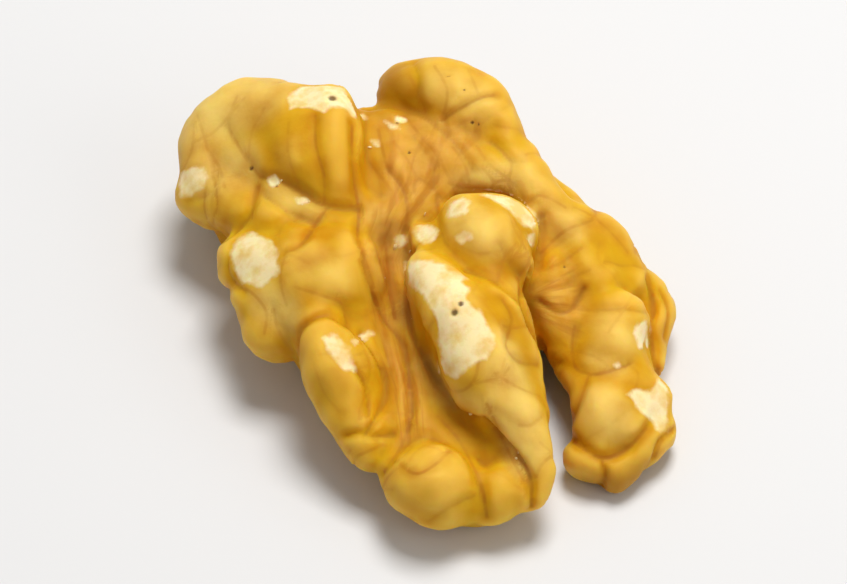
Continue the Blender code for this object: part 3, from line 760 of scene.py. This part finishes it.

# %% [markdown]
# ## Brown and pale places, mostly painted shade and light, and pinholes
#
# The skin is painted browner where folds shade each other, which is painted shade, and at the
# lobe's tip, where it dried first. It is painted paler over the plumpest folds and in some shaded
# hollows: partly skin stretched thin over the flesh, partly painted light.
# Here and there a dark pinhole marks where a fibre of the shell's inner wall was rooted: a small
# dent, which the material darkens. All of them were read off the photograph. The tables give a
# strength, a reach and the points of a line, or a pinhole's place and radius.

# %% Browner and paler places: mostly painted shade and painted light
# Browner places: mostly painted shade where folds shade each other, and the lobe's browner tip.
SHADE_AND_STAINS = {
    "hook_end": (1.0, 1.7, [(-2.3, 13.8), (-1.7, 12.6), (-0.9, 12.3)]),
    "tip": (1.0, 1.5, [(10.9, -12), (12.2, -12.2), (13.2, -11.6)]),
    "ridge_flank": (0.4, 1.2, [(5.6, -3), (6.5, -3.6), (6.7, -4.6)]),
    "under_hook": (0.5, 1, [(-3, 11.7), (-2.2, 11.2)]),
    "trough": (0.4, 0.9, [(-5.4, 5.2), (-4, 5.4)]),
    "knob_side": (0.7, 1.4, [(5.4, 1.6), (6.3, 0.4), (6.6, -1), (6.4, -2.2)]),
    "tongue_foot": (0.5, 1.1, [(-8.4, 7.1), (-6.5, 6.2), (-4.6, 6)]),
    "tongue_left": (0.35, 1.6, [(-10.6, 9.8), (-10.6, 8.4), (-9.4, 7.8)]),
    "hem": (0.5, 0.8, [(-1.2, 11.3), (1.2, 10.2), (2.9, 8.6)]),
    "finger_left": (0.35, 0.9, [(-5.9, -5.4), (-5.2, -6.2)]),
    "valley": (0.35, 1.7, [(-2, 2.6), (-2.1, 0), (-1.4, -3), (-0.6, -6), (0.6, -8)]),
    "valley_end": (0.15, 1.3, [(1, -7.6), (2.9, -8.8), (4.4, -9.6)]),
}
# Paler places: partly skin stretched thin, partly painted light that lifts shaded hollows and folds.
PALE_AND_LIT = {
    "dome": (1.0, 3.0, [(-14.4, 10.6), (-12.6, 12.2), (-10.4, 13.2)]),
    "ridge_low": (1.0, 1.9, [(4.9, -3.6), (5.6, -6.4), (6.3, -9.4)]),
    "knob": (0.8, 1.7, [(2.6, 4.6), (4.2, 3.4)]),
    "bulge": (0.6, 1.5, [(11.6, -1.8), (12.6, -3)]),
    "membrane": (1.0, 0.6, [(4.3, -6.8), (5, -8.4), (5.6, -9.9), (6.3, -11)]),
    "lobe_low": (1.0, 1.8, [(10.8, -7), (11.8, -8)]),
    "neck": (0.6, 1.2, [(6, 8), (7.2, 6.6)]),
    "heel": (0.15, 1.9, [(0.2, -11.6), (1.6, -12.4)]),
    "mound": (0.45, 1.8, [(-7.4, 1.6), (-5.8, 1)]),
    "hook": (0.7, 1.8, [(1.4, 13.4), (3.4, 12.2)]),
    "trough": (0.7, 0.9, [(-9.8, 6.6), (-8.4, 5.8), (-7, 5)]),
    "skin": (0.6, 0.8, [(-3.3, 4.9), (-2.4, 4.4)]),
    "shoulder": (1.0, 2.2, [(-13.8, 7.8), (-12, 8)]),
    "knob_back": (0.9, 1.0, [(2.4, 7.1), (4.2, 7.4), (5.6, 7)]),
    "lobe_top": (0.7, 1.4, [(7.8, 5), (9.3, 4.2)]),
    "low_bump": (1.0, 1.6, [(-9.8, -0.6), (-8.6, -1.4)]),
    "waist": (0.7, 1.0, [(10.8, -4), (12, -4.8)]),
    "valley_side": (0.6, 1.0, [(-2.4, 4), (-1.2, 2.6), (-1, 0.6), (-0.9, -1.4)]),
    "ridge_foot": (0.6, 1.0, [(0.2, -4.6), (1.8, -6.4), (3.4, -7)]),
}
skin = surface()
shade_and_stain = spread(SHADE_AND_STAINS, skin)
pale_and_lit = spread(PALE_AND_LIT, skin)
print("brown places:", len(SHADE_AND_STAINS), "pale places:", len(PALE_AND_LIT))

# %% Pinholes
PINHOLES = [(-5.8, 12.4, 0.30), (2.3, -0.7, 0.20), (1.9, -1.25, 0.24), (3.1, 10.8, 0.14), (3.5, 10.7, 0.10),
            (1.6, 13.8, 0.12), (2.6, 12.9, 0.10), (-11, 7.9, 0.16), (-0.9, 8.9, 0.12), (8.9, 1.6, 0.10)]
PINHOLE_DEPTH = 0.15 * MM
PINHOLE_RIM = 1.6
NO_PINHOLE = 3.0
pinhole = np.full(count, NO_PINHOLE)
skin = surface()
for across, up, radius in PINHOLES:
    for spot in dropped([(across, up)], skin)[:1]:
        away = np.linalg.norm(places - np.array(spot), axis=1) / MM
        pinhole = np.minimum(pinhole, away / radius)
places = places - outward() * (np.clip(1 - pinhole / PINHOLE_RIM, 0, 1) * PINHOLE_DEPTH)[:, None]
print("pinholes:", len(PINHOLES))

# %% Write the mesh and its attributes
FINE_WIDTH = 0.35 * MM
places[:, 2] = np.maximum(places[:, 2], 0)
hollow = hollowness(CREASE_WIDTH)
fine_hollow = hollowness(FINE_WIDTH)
outward()


def keep(name, values):
    """Stores a number or an arrow for each vertex, for the material to read."""
    kind, field = ("FLOAT", "value") if values.ndim == 1 else ("FLOAT_VECTOR", "vector")
    mesh.attributes.new(name, kind, "POINT").data.foreach_set(field, values.astype(np.float32).ravel())


kept = {
    "hollow": hollow / MM,
    "fine_hollow": fine_hollow / MM,
    "bare": bare,
    "pinhole": pinhole,
    "shade_and_stain": shade_and_stain,
    "pale_and_lit": pale_and_lit,
    "vein_offset": vein_offset / MM,
    "vein_distance": vein_distance / MM,
    "vein_strength": vein_strength,
    "wrinkle": wrinkle,
    "wrinkle_place": np.stack([wrinkle_across, wrinkle_along, np.zeros(count)], axis=1),
}
for name, values in kept.items():
    keep(name, values)
mesh.shade_smooth()
print("hollow from", round(hollow.min() / MM, 3), "to", round(hollow.max() / MM, 3), "mm")

# %% [markdown]
# ## The skin and the flesh
#
# A walnut's skin is a papery, golden film on oily, pale flesh. It could be one golden colour, but
# then every fold would look cast in wax. So the material is built in layers: the golden base,
# paler on the crests, partly as a painted highlight, and darker in the creases as painted shade,
# a rosy haze over the wrinkled valley, the veins, and at last the cream flesh where the skin is
# gone.

# %% Colours and helpers for nodes
def linear(code):
    """An sRGB hex colour as the linear RGBA that shaders expect."""
    parts = [int(code[k:k + 2], 16) / 255 for k in (1, 3, 5)]
    return (*[c / 12.92 if c <= 0.04045 else ((c + 0.055) / 1.055) ** 2.4 for c in parts], 1.0)


def put(tree, kind, inputs=None, **settings):
    """Adds one node. Inputs are values or other nodes' sockets, by name or number."""
    node = tree.nodes.new(kind)
    for name, value in settings.items():
        setattr(node, name, value)
    for name, value in (inputs or {}).items():
        if isinstance(value, bpy.types.NodeSocket):
            tree.links.new(value, node.inputs[name])
        else:
            node.inputs[name].default_value = value
    return node


def new_material(name):
    """A node material with nothing but its output."""
    made = bpy.data.materials.new(name)
    made.use_nodes = True
    made.node_tree.nodes.clear()
    return made, made.node_tree, made.node_tree.nodes.new("ShaderNodeOutputMaterial")


PER_MM = 1000.0
GOLD = linear("#D4A216")
# Paler gold on the crests: partly thinner skin, partly a painted highlight.
CREST_AND_HIGHLIGHT = linear("#E2BA4A")
# Darker gold in the creases: painted shade.
DEEP_SHADE = linear("#CA8404")
MOTTLE = linear("#C68A08")
# Brown for the brown places: mostly painted shade, and the lobe's browner tip.
BROWN = linear("#985E02")
# Pale gold: skin stretched thin, and painted light on shaded places.
PALE_SKIN_AND_LIGHT = linear("#F0DA84")
HAZE = linear("#DAA64E")
# Red-brown for the veins and streaks, and painted shade along the fine creases.
VEIN_AND_CREASE_SHADE = linear("#AE6818")
FLESH = linear("#EEDCA8")
FLESH_SHADE = linear("#E2C276")
PIT = linear("#5E3A1E")
SHEEN = linear("#FFE6B0")
print("gold in linear light:", [round(c, 3) for c in GOLD])

# %% [markdown]
# ## What the material reads
#
# The colours follow the form through the values that the mesh keeps for each vertex. Smooth noise
# adds what is finer than that, each kind at the size of the real marks: the skin is mottled every
# three millimetres, breaks in a vein and grains of flesh come about one to the millimetre, and
# the pores three. The pores are drawn coarser than they are, or they would not show. The table
# gives the marks in a millimetre and how many finer layers each kind carries.

# %% Walnut skin, dried: values and noise
NOISES = {
    "mottles": (0.35, 4.0),
    "breaks": (0.9, 2.0),
    "nibbles": (0.8, 3.0),
    "grains": (0.9, 4.0),
    "pores": (3.0, 3.0),
}
walnut, tree, output = new_material("walnut skin and flesh")
coords = put(tree, "ShaderNodeTexCoord").outputs["Object"]
read = {}
for name, values in kept.items():
    socket = "Fac" if values.ndim == 1 else "Vector"
    read[name] = put(tree, "ShaderNodeAttribute", attribute_name=name).outputs[socket]
for name, (marks_per_mm, finer_layers) in NOISES.items():
    inputs = {"Vector": coords, "Scale": marks_per_mm * PER_MM, "Detail": finer_layers}
    read[name] = put(tree, "ShaderNodeTexNoise", inputs).outputs[0]
print("kept values:", len(kept), "noises:", len(NOISES))

# %% [markdown]
# ## Streaks along the wrinkles
#
# The loose skin of the valley is streaked and hazy. These two patterns read the coordinates that
# run across and along the wrinkles, not the place in space, so they bend and fan out with them.

# %% Haze and streaks
HAZE_NOISE = {"Scale": 1.6, "Detail": 3.0}
STREAK_NOISE = {"Scale": 1.0, "Detail": 2.0, "Distortion": 0.3}
STREAK_STRETCH = (1.9, 0.25, 1.0)

wrinkle_place = read["wrinkle_place"]
read["haze"] = put(tree, "ShaderNodeTexNoise", {"Vector": wrinkle_place, **HAZE_NOISE}).outputs[0]
stretched = put(tree, "ShaderNodeVectorMath", {0: wrinkle_place, 1: STREAK_STRETCH}, operation="MULTIPLY")
streaks = put(tree, "ShaderNodeTexNoise", {"Vector": stretched.outputs[0], **STREAK_NOISE})
read["streaks"] = streaks.outputs[0]
read["up"] = put(tree, "ShaderNodeSeparateXYZ", {0: wrinkle_place}).outputs[1]
print("stretched along the wrinkles:", round(STREAK_STRETCH[0] / STREAK_STRETCH[1], 1), "times")

# %% [markdown]
# ## Ramps, plain and soft
#
# A ramp turns a value into how strongly something shows. Each row gives the value that it reads,
# where it starts, where it ends, the least and the most. The plain ramps thin the haze towards
# the valley's lower end, break up the veins and nibble the edges of the rubbed patches. The soft
# ones start and end gently. Most of their numbers are millimetres of depth or distance: a vein's
# core is full up to 0.04 mm from its line, and gone at 0.17 mm.
#
# In between, two values are worked out: how deep in a nibbled patch a point lies, and how far the
# nearest vein is. Half-way between two veins the arrow passes through zero as well, where there
# is none, so the plain distance sets the least that the arrow's length may say.

# %% Plain ramps
RAMP_ENDS = ("From Min", "From Max", "To Min", "To Max")
PLAIN_RAMPS = {
    "mottled": ("mottles", 0.35, 0.62, 0.0, 1.0),
    "upper": ("up", 0.0, 5.0, 0.4, 1.0),
    "broken": ("breaks", 0.3, 0.6, 0.35, 1.0),
    "nibbled": ("nibbles", 0.0, 1.0, -0.45, 0.45),
    "grainy": ("grains", 0.32, 0.56, 0.0, 1.0),
}
for name, (source, *numbers) in PLAIN_RAMPS.items():
    inputs = {"Value": read[source], **dict(zip(RAMP_ENDS, numbers))}
    read[name] = put(tree, "ShaderNodeMapRange", inputs).outputs[0]
print("plain ramps:", len(PLAIN_RAMPS))

# %% How far from a vein, how deep in a patch
VEIN_DOUBT = 0.1
DISTANCES = {
    "vein_least": ("SUBTRACT", read["vein_distance"], VEIN_DOUBT),
    "patch": ("ADD", read["bare"], read["nibbled"]),
}
for name, (operation, first, second) in DISTANCES.items():
    read[name] = put(tree, "ShaderNodeMath", {0: first, 1: second}, operation=operation).outputs[0]
arrow = put(tree, "ShaderNodeVectorMath", {0: read["vein_offset"]}, operation="LENGTH").outputs["Value"]
longer = put(tree, "ShaderNodeMath", {0: arrow, 1: read["vein_least"]}, operation="MAXIMUM")
read["vein_far"] = longer.outputs[0]
print("the arrow's length counts unless it falls", VEIN_DOUBT, "mm short of the distance")

# %% Soft ramps
SOFT_RAMPS = {
    # Paler on the crests: partly thinner skin, partly a painted highlight.
    "crest_and_highlight": ("hollow", -0.02, -0.30, 0.0, 0.8),
    # Darker in the creases: painted shade. The same value also makes the creases dull.
    "deep": ("hollow", 0.02, 0.45, 0.0, 0.6),
    "streak": ("streaks", 0.52, 0.36, 0.0, 0.5),
    "core": ("vein_far", 0.17, 0.04, 0.0, 0.4),
    "halo": ("vein_far", 0.7, 0.0, 0.0, 0.35),
    # A darker line in each fine crease: painted shade.
    "crease_shade": ("fine_hollow", 0.015, 0.12, 0.0, 0.4),
    "rubbed": ("patch", -0.16, 0.16, 0.0, 1.0),
    "pit": ("pinhole", 1.3, 0.5, 0.0, 0.85),
}
for name, (source, *numbers) in SOFT_RAMPS.items():
    inputs = {"Value": read[source], **dict(zip(RAMP_ENDS, numbers))}
    read[name] = put(tree, "ShaderNodeMapRange", inputs, interpolation_type="SMOOTHSTEP").outputs[0]
read["line"] = put(tree, "ShaderNodeMath", {0: read["core"], 1: read["halo"]}, operation="ADD").outputs[0]
print("soft ramps:", len(SOFT_RAMPS))

# %% [markdown]
# ## One thing only where another is
#
# Multiplying two values keeps the first only where the second is also there: streaks only on
# wrinkles, grains only on rubbed flesh. The last three products are heights for the bump, so each
# ends with its real height in metres, a few hundredths of a millimetre.

# %% Products
BROWN_MOST = 0.75
PRODUCTS = {
    # Pale skin and painted light, broken up by the mottles.
    "thin_and_lit": ("pale_and_lit", "mottles"),
    # Mostly painted shade, and the browner tip.
    "brown": ("shade_and_stain", BROWN_MOST),
    "hazy": ("wrinkle", "haze", "upper"),
    "streaked": ("streak", "wrinkle"),
    "veined": ("line", "broken", "vein_strength"),
    "pore_height": ("pores", 0.02 * MM),
    "streak_height": ("streaks", "wrinkle", 0.06 * MM),
    "grain_height": ("grains", "rubbed", 0.05 * MM),
}
for name, factors in PRODUCTS.items():
    product, *others = [read.get(factor, factor) for factor in factors]
    for other in others:
        product = put(tree, "ShaderNodeMath", {0: product, 1: other}, operation="MULTIPLY").outputs[0]
    read[name] = product
print("products:", len(PRODUCTS))

# %% [markdown]
# ## Laying the colours over each other
#
# The colours go on from the inside out, as the skin's own colours lie in a real kernel, and each
# layer covers those before it as far as its value says. A painted highlight on the crests, painted
# shade in the creases and painted shade and light in the brown and pale places lie among them.
# The flesh and the pinholes come last, because there the skin is gone and nothing may shine over
# them.

# %% Layers of colour
colour = put(tree, "ShaderNodeMix", {0: read["mottled"], 6: MOTTLE, 7: GOLD}, data_type="RGBA").outputs[2]
flesh = put(tree, "ShaderNodeMix", {0: read["grainy"], 6: FLESH_SHADE, 7: FLESH}, data_type="RGBA").outputs[2]
layers = {
    # Partly thinner skin, partly a painted highlight.
    "crest_and_highlight": CREST_AND_HIGHLIGHT,
    # Painted shade in the creases.
    "deep": DEEP_SHADE,
    # Thin skin and painted light.
    "thin_and_lit": PALE_SKIN_AND_LIGHT,
    # Mostly painted shade, and the browner tip.
    "brown": BROWN,
    "hazy": HAZE,
    "streaked": VEIN_AND_CREASE_SHADE,
    "veined": VEIN_AND_CREASE_SHADE,
    # Painted shade along the fine creases.
    "crease_shade": VEIN_AND_CREASE_SHADE,
    "rubbed": flesh,
    "pit": PIT,
}
for name, paint in layers.items():
    inputs = {0: read[name], 6: colour, 7: paint}
    colour = put(tree, "ShaderNodeMix", inputs, data_type="RGBA").outputs[2]
print("layers of colour:", len(layers))

# %% [markdown]
# ## A waxy, satin film
#
# Dried skin is satin on the crests, and dull in the creases and where it is rubbed off. Its gloss
# is weak and faintly golden, because the oil shines and not the film. Light goes furthest into it
# in red and least in blue, which is why thin edges glow warm.

# %% Bump, gloss and glow
SATIN = 0.48
DULL = 0.8
height = read["pore_height"]
for name in ("streak_height", "grain_height"):
    height = put(tree, "ShaderNodeMath", {0: height, 1: read[name]}, operation="ADD").outputs[0]
bump = put(tree, "ShaderNodeBump", {"Height": height, "Distance": 1.0, "Strength": 1.0}).outputs[0]
matt = put(tree, "ShaderNodeMath", {0: read["rubbed"], 1: read["deep"]}, operation="MAXIMUM").outputs[0]
roughness = put(tree, "ShaderNodeMapRange", {"Value": matt, "To Min": SATIN, "To Max": DULL}).outputs[0]
film = put(tree, "ShaderNodeBsdfPrincipled", {
    "Base Color": colour,
    "Roughness": roughness,
    "Normal": bump,
    "IOR": 1.45,
    "Specular IOR Level": 0.2,
    "Specular Tint": SHEEN,
    "Subsurface Weight": 0.75,
    "Subsurface Radius": (1.5, 0.45, 0.12),
    "Subsurface Scale": 1.3 * MM,
})
tree.links.new(film.outputs[0], output.inputs["Surface"])
print("nodes in the material:", len(tree.nodes))

# %% Dress the kernel
mesh.materials.clear()
mesh.materials.append(walnut)
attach(kernel, "root")
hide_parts(NODE)
print("kernel faces:", len(mesh.polygons))

# %% [markdown]
# ## Crumbs
#
# Broken flesh leaves a few pale crumbs in the valleys. A Geometry Nodes tree scatters them: it
# puts points on the skin where the attribute crumb_place allows, sets a small twenty-sided ball
# on each, turned and stretched at random, and joins them to one mesh. The tree's sizes are named
# inputs, so the same tree could dust any surface. The crumbs lie thick in a few spots that the
# photograph shows, and a very thin dust of them lies in the deeper creases.

# %% Where crumbs may lie
CRUMB_SPOTS = [(-2, 10.7), (-3.1, 9.3), (-9.4, 6.9), (-7.6, 5.7), (-1.4, 3.1), (5.8, -10.1)]
CRUMB_REACH = 0.4 * MM
DUST_FROM = 0.15
DUST_RISE = 0.08
DUST_MOST = 0.01
DUST_LOWEST = 3 * MM
crumb_place = np.clip((hollow / MM - DUST_FROM) * DUST_RISE, 0, DUST_MOST) * (places[:, 2] > DUST_LOWEST)
skin = surface()
for across, up in CRUMB_SPOTS:
    for spot in dropped([(across, up)], skin)[:1]:
        near = np.linalg.norm(places - np.array(spot), axis=1) < CRUMB_REACH
        crumb_place[near] = 1
keep("crumb_place", crumb_place)
print("crumb spots:", len(CRUMB_SPOTS))

# %% The scattering tree
ANY_TURN = (6.28, 6.28, 6.28)
FLATTEST = (0.6, 0.4, 0.2)
PLUMPEST = (1.4, 1.0, 0.5)
INPUTS = {
    "Surface": "NodeSocketGeometry",
    "Crumbs per square metre": "NodeSocketFloat",
    "Smallest": "NodeSocketFloat",
    "Largest": "NodeSocketFloat",
    "Seed": "NodeSocketInt",
    "Material": "NodeSocketMaterial",
}
scatter = bpy.data.node_groups.new("scatter crumbs", "GeometryNodeTree")
sockets = {
    name: scatter.interface.new_socket(name, in_out="INPUT", socket_type=kind)
    for name, kind in INPUTS.items()
}
scatter.interface.new_socket("Crumbs", in_out="OUTPUT", socket_type="NodeSocketGeometry")
given = scatter.nodes.new("NodeGroupInput").outputs
place = put(scatter, "GeometryNodeInputNamedAttribute", {"Name": "crumb_place"}, data_type="FLOAT")
density = put(scatter, "ShaderNodeMath", {0: place.outputs[0], 1: given["Crumbs per square metre"]},
              operation="MULTIPLY")
points = put(scatter, "GeometryNodeDistributePointsOnFaces",
             {"Mesh": given["Surface"], "Density": density.outputs[0], "Seed": given["Seed"]})
ball = put(scatter, "GeometryNodeMeshIcoSphere", {"Radius": 1.0, "Subdivisions": 1})
turn = put(scatter, "FunctionNodeRandomValue", {"Max": ANY_TURN, "Seed": 1}, data_type="FLOAT_VECTOR")
size = put(scatter, "FunctionNodeRandomValue", {2: given["Smallest"], 3: given["Largest"], "Seed": 2},
           data_type="FLOAT")
squash = put(scatter, "FunctionNodeRandomValue", {"Min": FLATTEST, "Max": PLUMPEST, "Seed": 3},
             data_type="FLOAT_VECTOR")
scale = put(scatter, "ShaderNodeVectorMath", {0: squash.outputs[0], 3: size.outputs[1]}, operation="SCALE")
placed = put(scatter, "GeometryNodeInstanceOnPoints",
             {"Points": points.outputs[0], "Instance": ball.outputs[0],
              "Rotation": turn.outputs[0], "Scale": scale.outputs[0]})
joined = put(scatter, "GeometryNodeRealizeInstances", {0: placed.outputs[0]})
dressed = put(scatter, "GeometryNodeSetMaterial",
              {"Geometry": joined.outputs[0], "Material": given["Material"]})
scatter.links.new(dressed.outputs[0], scatter.nodes.new("NodeGroupOutput").inputs[0])
print("nodes in the scattering tree:", len(scatter.nodes))

# %% Walnut crumb, dry: pale and quite matt
SPECKS_PER_MM = 4
crumb_flesh, tree, output = new_material("walnut crumb")
coords = put(tree, "ShaderNodeTexCoord").outputs["Object"]
speck = put(tree, "ShaderNodeTexNoise",
            {"Vector": coords, "Scale": SPECKS_PER_MM * PER_MM, "Detail": 2.0}).outputs[0]
tone = put(tree, "ShaderNodeMix", {0: speck, 6: FLESH_SHADE, 7: FLESH}, data_type="RGBA").outputs[2]
dry = put(tree, "ShaderNodeBsdfPrincipled", {
    "Base Color": tone,
    "Roughness": 0.75,
    "IOR": 1.45,
    "Subsurface Weight": 0.3,
    "Subsurface Radius": (1.0, 0.7, 0.4),
    "Subsurface Scale": 0.3 * MM,
})
tree.links.new(dry.outputs[0], output.inputs["Surface"])
print("specks in a millimetre:", SPECKS_PER_MM)

# %% Scatter them
CRUMB_SETTINGS = {
    "Crumbs per square metre": 6e6,
    "Smallest": 0.06 * MM,
    "Largest": 0.26 * MM,
    "Seed": 5,
    "Material": crumb_flesh,
}
crumbs = bpy.data.objects.new("crumbs", mesh)
bpy.context.scene.collection.objects.link(crumbs)
dust = crumbs.modifiers.new("scatter", "NODES")
dust.node_group = scatter
for name, value in CRUMB_SETTINGS.items():
    dust[sockets[name].identifier] = value
bake_modifiers(crumbs)
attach(crumbs, "root")
print("crumb faces:", len(crumbs.data.polygons))

# %% [markdown]
# ## The floor and the light
#
# The floor is a plain, pale sheet, and the light is soft, as by a window on a bright day: one
# wide lamp above and a little behind, a weaker one from the right, and a white sky around.

# %% Floor, lamps and sky
FLOOR_HALF = 0.6
SKY_STRENGTH = 0.37
LAMPS = {"key lamp": ((0.05, 0.10, 0.35), 0.15, 1.25), "side lamp": ((0.30, -0.16, 0.18), 0.25, 0.25)}

corners = [(x * FLOOR_HALF, y * FLOOR_HALF, 0) for x, y in ((-1, -1), (1, -1), (1, 1), (-1, 1))]
floor_mesh = bpy.data.meshes.new("floor")
floor_mesh.from_pydata(corners, [], [(0, 1, 2, 3)])
floor = bpy.data.objects.new("floor", floor_mesh)
bpy.context.scene.collection.objects.link(floor)
paper, tree, output = new_material("matt white board")
board = put(tree, "ShaderNodeBsdfPrincipled", {"Base Color": linear("#DAD9D8"), "Roughness": 0.7})
tree.links.new(board.outputs[0], output.inputs["Surface"])
floor_mesh.materials.append(paper)


def add_lamp(name, place, size, power):
    """A square soft lamp aimed at the kernel: its place and size in metres, its power in watts."""
    data = bpy.data.lights.new(name, "AREA")
    data.size = size
    data.energy = power
    lamp = bpy.data.objects.new(name, data)
    lamp.location = place
    lamp.rotation_euler = Vector(place).to_track_quat("Z", "Y").to_euler()
    bpy.context.scene.collection.objects.link(lamp)


for name, (place, size, power) in LAMPS.items():
    add_lamp(name, place, size, power)
sky = bpy.data.worlds.new("sky")
bpy.context.scene.world = sky
sky.use_nodes = True
background = sky.node_tree.nodes["Background"]
background.inputs["Color"].default_value = linear("#FFFFFF")
background.inputs["Strength"].default_value = SKY_STRENGTH
bpy.context.scene.view_settings.view_transform = "Standard"
print("lamps:", list(LAMPS))
